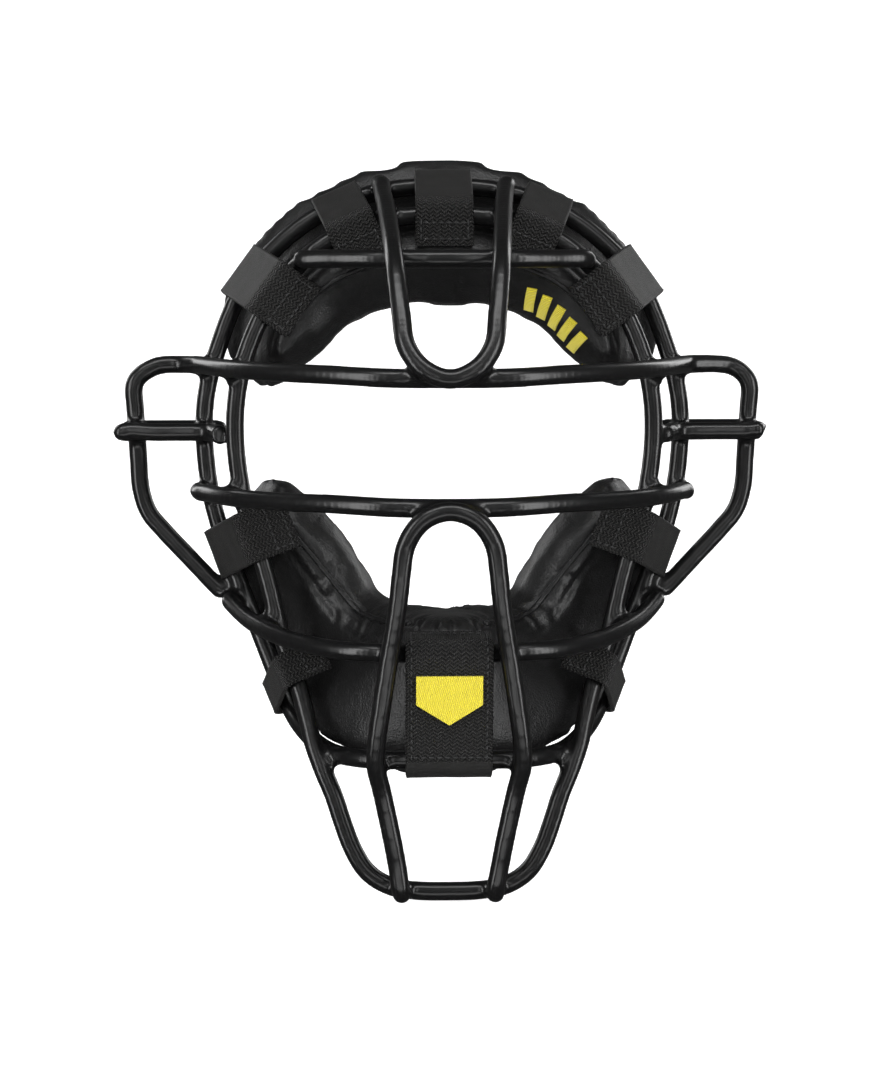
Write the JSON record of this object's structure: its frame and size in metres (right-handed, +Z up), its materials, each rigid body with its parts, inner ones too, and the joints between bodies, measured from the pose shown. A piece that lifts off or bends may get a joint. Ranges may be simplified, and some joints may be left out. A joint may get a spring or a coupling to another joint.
{
  "type": "catcher's mask",
  "caption": "Wire face cage with two rings, brow, eye, jaw and throat bars, ear hoops, and forehead and chin pads held on by hook-and-loop tabs",
  "frame": {"origin": "On the mask's symmetry plane at the wearer's eye level, in the depth of the front ring's sides (the mount head_seat)", "axes": "The front of the mask faces -Y, +Y points to the wearer, +Z is up; left and right in the names are as seen from the front"},
  "size_m": [0.267, 0.1384, 0.2856],
  "materials": {
    "coated_steel": "gloss black powder coat",
    "pad_leather": "black synthetic leather, satin",
    "pad_foam": "grey closed-cell foam",
    "pad_lining": "black brushed lining cloth",
    "webbing": "black nylon herringbone webbing",
    "loop_pile": "black loop pile",
    "yellow_thread": "yellow embroidery thread"
  },
  "bodies": {
    "mask": {"back_ring": "coated_steel", "front_ring": "coated_steel", "forehead_bar": "coated_steel", "brow_bar": "coated_steel", "eye_bar": "coated_steel", "forehead_vee": "coated_steel", "chin_arch": "coated_steel", "jaw_bar": "coated_steel", "ear_hoop_left": "coated_steel", "ear_bar_front_left": "coated_steel", "ear_bar_back_left": "coated_steel", "ear_hoop_right": "coated_steel", "ear_bar_front_right": "coated_steel", "ear_bar_back_right": "coated_steel", "upper_pad_cover": "pad_leather", "upper_pad_foam": "pad_foam", "upper_pad_lining": "pad_lining", "lower_pad_cover": "pad_leather", "lower_pad_foam": "pad_foam", "lower_pad_lining": "pad_lining", "tab_strap_top_centre": "webbing", "loop_patch_top_centre": "loop_pile", "tab_strap_top_side_left": "webbing", "loop_patch_top_side_left": "loop_pile", "tab_strap_top_side_right": "webbing", "loop_patch_top_side_right": "loop_pile", "tab_strap_corner_left": "webbing", "loop_patch_corner_left": "loop_pile", "tab_strap_corner_right": "webbing", "loop_patch_corner_right": "loop_pile", "tab_strap_cheek_left": "webbing", "loop_patch_cheek_left": "loop_pile", "tab_strap_cheek_right": "webbing", "loop_patch_cheek_right": "loop_pile", "tab_strap_jaw_left": "webbing", "loop_patch_jaw_left": "loop_pile", "tab_strap_jaw_right": "webbing", "loop_patch_jaw_right": "loop_pile", "tab_strap_chin": "webbing", "loop_patch_chin": "loop_pile", "pad_stripe_1": "yellow_thread", "pad_stripe_2": "yellow_thread", "pad_stripe_3": "yellow_thread", "pad_stripe_4": "yellow_thread", "pad_stripe_5": "yellow_thread"},
    "flap_top_centre": {"tab_flap_top_centre": "webbing"},
    "flap_top_side_left": {"tab_flap_top_side_left": "webbing"},
    "flap_top_side_right": {"tab_flap_top_side_right": "webbing"},
    "flap_corner_left": {"tab_flap_corner_left": "webbing"},
    "flap_corner_right": {"tab_flap_corner_right": "webbing"},
    "flap_cheek_left": {"tab_flap_cheek_left": "webbing"},
    "flap_cheek_right": {"tab_flap_cheek_right": "webbing"},
    "flap_jaw_left": {"tab_flap_jaw_left": "webbing"},
    "flap_jaw_right": {"tab_flap_jaw_right": "webbing"},
    "flap_chin": {"tab_flap_chin": "webbing", "chin_emblem": "yellow_thread"}
  },
  "joints": [
    {"name": "peel_top_centre", "type": "hinge", "parent": "mask", "child": "flap_top_centre", "pos_m": [0, 0.02918, 0.10626], "axis": [-1, 0, 0], "range_deg": [0, 90]},
    {"name": "peel_top_side_left", "type": "hinge", "parent": "mask", "child": "flap_top_side_left", "pos_m": [-0.0438, 0.02867, 0.09807], "axis": [-0.9178, -0.0466, -0.3943], "range_deg": [0, 90]},
    {"name": "peel_top_side_right", "type": "hinge", "parent": "mask", "child": "flap_top_side_right", "pos_m": [0.0438, 0.02867, 0.09807], "axis": [-0.9178, 0.0466, 0.3943], "range_deg": [0, 90]},
    {"name": "peel_corner_left", "type": "hinge", "parent": "mask", "child": "flap_corner_left", "pos_m": [-0.08235, 0.02593, 0.0675], "axis": [-0.5906, -0.074, -0.8036], "range_deg": [0, 90]},
    {"name": "peel_corner_right", "type": "hinge", "parent": "mask", "child": "flap_corner_right", "pos_m": [0.08235, 0.02593, 0.0675], "axis": [-0.5906, 0.074, 0.8036], "range_deg": [0, 90]},
    {"name": "peel_cheek_left", "type": "hinge", "parent": "mask", "child": "flap_cheek_left", "pos_m": [-0.09336, 0.0186, -0.04815], "axis": [0.3503, -0.1637, -0.9222], "range_deg": [0, 90]},
    {"name": "peel_cheek_right", "type": "hinge", "parent": "mask", "child": "flap_cheek_right", "pos_m": [0.09336, 0.0186, -0.04815], "axis": [0.3503, 0.1637, 0.9222], "range_deg": [0, 90]},
    {"name": "peel_jaw_left", "type": "hinge", "parent": "mask", "child": "flap_jaw_left", "pos_m": [-0.07076, 0.00068, -0.10358], "axis": [0.3777, -0.4623, -0.8023], "range_deg": [0, 90]},
    {"name": "peel_jaw_right", "type": "hinge", "parent": "mask", "child": "flap_jaw_right", "pos_m": [0.07076, 0.00068, -0.10358], "axis": [0.3777, 0.4623, 0.8023], "range_deg": [0, 90]},
    {"name": "peel_chin", "type": "hinge", "parent": "mask", "child": "flap_chin", "pos_m": [0, -0.05807, -0.11815], "axis": [1, 0, 0], "range_deg": [0, 90]}
  ]
}
